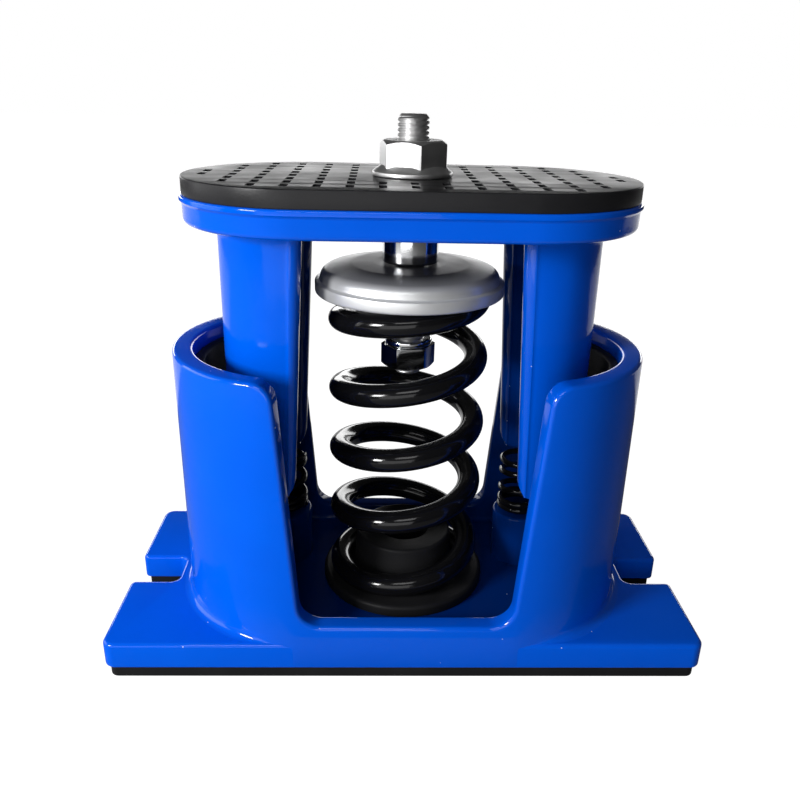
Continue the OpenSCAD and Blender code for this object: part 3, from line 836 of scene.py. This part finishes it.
# a ring on the bolt: a rectangle with rounded corners, from the bore to the node's radius, turned
def ringBlock(size, node):
    low, high = nodeBox(node)
    corners = [(size["bore"], low[2]), (high[0], low[2]), (high[0], high[2]), (size["bore"], high[2])]
    return turned(roundedOutline(corners, size["rounds"], size["step"]))


collarBlock = ringBlock(collar, "bolt_collar")
makePiece("boltCollar", [collarBlock], chromePlate, "bolt", ["bolt_collar"])


# a hexagon nut: flats at half the width over the cosine of the angle from each, both ends cut back by a cone
def hexNut(size, low, high):
    flats, bore, slope = size["flats"], size["bore"], size["slope"]
    steps = 6 * 20
    a = np.linspace(0, turn, steps, endpoint=False)
    fromFlat = np.mod(a, turn / 6) - turn / 12
    hexagon = np.minimum(flats / 2 / np.cos(fromFlat), flats / math.sqrt(3) - 0.1)    # corners a hair blunt
    flat = np.ones(steps)
    lowCut = low + np.maximum(hexagon - size["lowCircle"], 0) * slope
    highCut = high - np.maximum(hexagon - size["highCircle"], 0) * slope
    inLow = np.minimum(size["lowCircle"], hexagon - 0.05)
    inHigh = np.minimum(size["highCircle"], hexagon - 0.05)
    lowSink, highSink = 0.5, 0.6    # the bore's mouths
    r = np.stack([(bore + lowSink) * flat, inLow, hexagon, hexagon, inHigh, (bore + highSink) * flat,
                  bore * flat, bore * flat])
    z = np.stack([low * flat, low * flat, lowCut, highCut, high * flat, high * flat,
                  (high - highSink) * flat, (low + lowSink) * flat])
    angle = a[None] + math.radians(size["rotation"])
    points = np.stack([r * np.cos(angle), r * np.sin(angle), z], axis=-1).reshape(-1, 3)
    return points, [gridFaces(len(r), steps, closeRows=True)], np.zeros(len(points))


stopLow, stopHigh = nodeBox("stop_nut")
stopNut = {"flats": 16, "bore": 5.02, "rotation": 4, "lowCircle": 7.6, "highCircle": 9.6, "slope": 0.5}
stopHexagon = hexNut(stopNut, stopLow[2], stopHigh[2])
makePiece("stopNut", [stopHexagon], chromePlate, "bolt", ["stop_nut"], 25)
washerBlock = ringBlock(washer, "stop_washer")
makePiece("stopWasher", [washerBlock], chromePlate, "bolt", ["stop_washer"])

nutLow, nutHigh = nodeBox("flange_nut")
flangeNut = {
    "flats": 19, "bore": 5.06, "rotation": 41, "lowCircle": 12, "highCircle": 8.9, "slope": 0.6,
    "hexagonFoot": 1.4, "flangeEdge": 1.3, "flangeTop": 3.2, "neck": 9.8,
    "flangeRounds": [0.1, 0.4, 0.7, 0.8, 0.1]}


# the flange: an upright edge and a cone up to the neck, as one rounded section turned
def nutFlange(size):
    r, z = nutHigh[0], nutLow[2]
    corners = [(size["bore"], z), (r, z), (r, z + size["flangeEdge"]), (size["neck"], z + size["flangeTop"]),
               (size["bore"], z + size["flangeTop"])]
    return turned(roundedOutline(corners, size["flangeRounds"], 0.15))


nutHexagon = hexNut(flangeNut, nutLow[2] + flangeNut["hexagonFoot"], nutHigh[2])
makePiece("flangeNut", [nutFlange(flangeNut), nutHexagon], zincSteel, "nut", ["flange_nut"], 25)
print("pieces made")

# studio: pale floor, white surround, soft lights and the camera at the photo's place
studio = {
    "surround": 0.04, "floorHalf": 4.0, "floorDrop": 0.0002, "floorTone": 0.9, "floorRoughness": 0.9,
    "floorBounce": 0.32, "floorSeen": 0.78, "floorLight": 1.3}
lights = {
    "keyLeft": {"place": (-0.46, -0.39, 0.29), "aim": (0, 0, 0.09), "size": (0.16, 0.14), "power": 3.5},
    "topCard": {"place": (-0.10, -0.50, 0.50), "aim": (0, 0, 0.12), "size": (0.30, 0.16), "power": 0.55},
    "sideLeft": {"place": (-0.80, 0.05, 0.25), "aim": (0, 0, 0.10), "size": (0.60, 0.40), "power": 1.5},
    "frontCard": {"place": (-0.16, -0.48, 0.12), "aim": (0, 0, 0.12), "size": (0.44, 0.23), "power": 0.55},
    "backStrip": {"place": (0, 0.95, 0.205), "aim": (0, 0, 0.16), "size": (1.9, 0.19), "power": 4.6},
    "backFloor": {"place": (0, 0.52, 0.002), "aim": (0, 0.52, 1), "size": (1.2, 0.7), "power": 2.0}}
# place, lens and sensor in millimetres, angles in degrees
view = {
    "place": (-10.02, -254.31, 186.12), "pitch": 21.98, "yaw": 1.73, "roll": -1.25, "lens": 35.50,
    "sensor": 36, "clip": 0.01}


# shader mixed by the kind of ray: one for the camera, another for what the object sees
def cameraSplit(tree, unseen, seen, output):
    mix = tree.nodes.new("ShaderNodeMixShader")
    path = tree.nodes.new("ShaderNodeLightPath")
    tree.links.new(path.outputs["Is Camera Ray"], mix.inputs["Fac"])
    tree.links.new(unseen, mix.inputs[1])
    tree.links.new(seen, mix.inputs[2])
    tree.links.new(mix.outputs["Shader"], tree.nodes[output].inputs["Surface"])


# the surround is white to the camera and dim to the object
def buildSurround(size):
    world = bpy.data.worlds.new("studioSurround")
    bpy.context.scene.world = world
    world.use_nodes = True
    nodes = world.node_tree.nodes
    back = nodes["Background"]
    seen = nodes.new("ShaderNodeBackground")
    for node, strength in ((back, size["surround"]), (seen, 1.0)):
        node.inputs["Color"].default_value = (1, 1, 1, 1)
        node.inputs["Strength"].default_value = strength
    cameraSplit(world.node_tree, back.outputs["Background"], seen.outputs["Background"], "World Output")


# the floor is a square just below the object: mostly its own pale light to the camera, dull to the object
def buildFloor(size):
    h, z = size["floorHalf"], -size["floorDrop"]
    mesh = bpy.data.meshes.new("floor")
    mesh.from_pydata([(-h, -h, z), (h, -h, z), (h, h, z), (-h, h, z)], [], [(0, 1, 2, 3)])
    floor = bpy.data.objects.new("floor", mesh)
    paper = bpy.data.materials.new("floorPaper")
    paper.use_nodes = True
    nodes = paper.node_tree.nodes
    link = paper.node_tree.links.new
    shader = nodes["Principled BSDF"]
    shader.inputs["Base Color"].default_value = (*[size["floorTone"]] * 3, 1)
    shader.inputs["Roughness"].default_value = size["floorRoughness"]
    bright = nodes.new("ShaderNodeEmission")
    bright.inputs["Strength"].default_value = size["floorLight"]
    even = nodes.new("ShaderNodeMixShader")
    even.inputs["Fac"].default_value = size["floorSeen"]
    link(shader.outputs["BSDF"], even.inputs[1])
    link(bright.outputs["Emission"], even.inputs[2])
    dim = nodes.new("ShaderNodeBsdfDiffuse")
    dim.inputs["Color"].default_value = (*[size["floorBounce"]] * 3, 1)
    cameraSplit(paper.node_tree, dim.outputs["BSDF"], even.outputs["Shader"], "Material Output")
    mesh.materials.append(paper)
    bpy.context.scene.collection.objects.link(floor)


# an oblong area light at its place, its -Z turned towards its aim
def addLight(name, size):
    lamp = bpy.data.lights.new(name, "AREA")
    lamp.shape = "RECTANGLE"
    lamp.size, lamp.size_y = size["size"]
    lamp.energy = size["power"]
    thing = bpy.data.objects.new(name, lamp)
    thing.visible_camera = False
    away = np.array(size["place"], float) - np.array(size["aim"], float)
    z = away / np.linalg.norm(away)
    x = np.cross((0, 0, 1), z) if abs(z[2]) < 0.999 else np.array([1.0, 0, 0])
    x = x / np.linalg.norm(x)
    frameOfLight = np.eye(4)
    frameOfLight[:3, :3] = np.stack([x, np.cross(z, x), z], axis=1)
    frameOfLight[:3, 3] = size["place"]
    thing.matrix_world = Matrix(frameOfLight.tolist())
    bpy.context.scene.collection.objects.link(thing)


# camera axes from pitch and yaw, then rolled: right, up and backwards as the matrix columns
def addCamera(size):
    pitch, yaw, roll = np.radians([size["pitch"], size["yaw"], size["roll"]])
    forward = np.array([math.sin(yaw) * math.cos(pitch), math.cos(yaw) * math.cos(pitch), -math.sin(pitch)])
    right = np.array([math.cos(yaw), -math.sin(yaw), 0])
    down = np.cross(forward, right)
    frameOfCamera = np.eye(4)
    frameOfCamera[:3, 0] = math.cos(roll) * right + math.sin(roll) * down
    frameOfCamera[:3, 1] = math.sin(roll) * right - math.cos(roll) * down
    frameOfCamera[:3, 2] = -forward
    frameOfCamera[:3, 3] = np.array(size["place"]) * mm
    lens = bpy.data.cameras.new("photoCamera")
    lens.lens = size["lens"]
    lens.sensor_width = size["sensor"]
    lens.clip_start = size["clip"]
    camera = bpy.data.objects.new("photoCamera", lens)
    camera.matrix_world = Matrix(frameOfCamera.tolist())
    bpy.context.scene.collection.objects.link(camera)
    bpy.context.scene.camera = camera


buildSurround(studio)
buildFloor(studio)
for name, size in lights.items():
    addLight(name, size)
addCamera(view)
bpy.context.scene.view_settings.view_transform = "Standard"
print("studio ready")
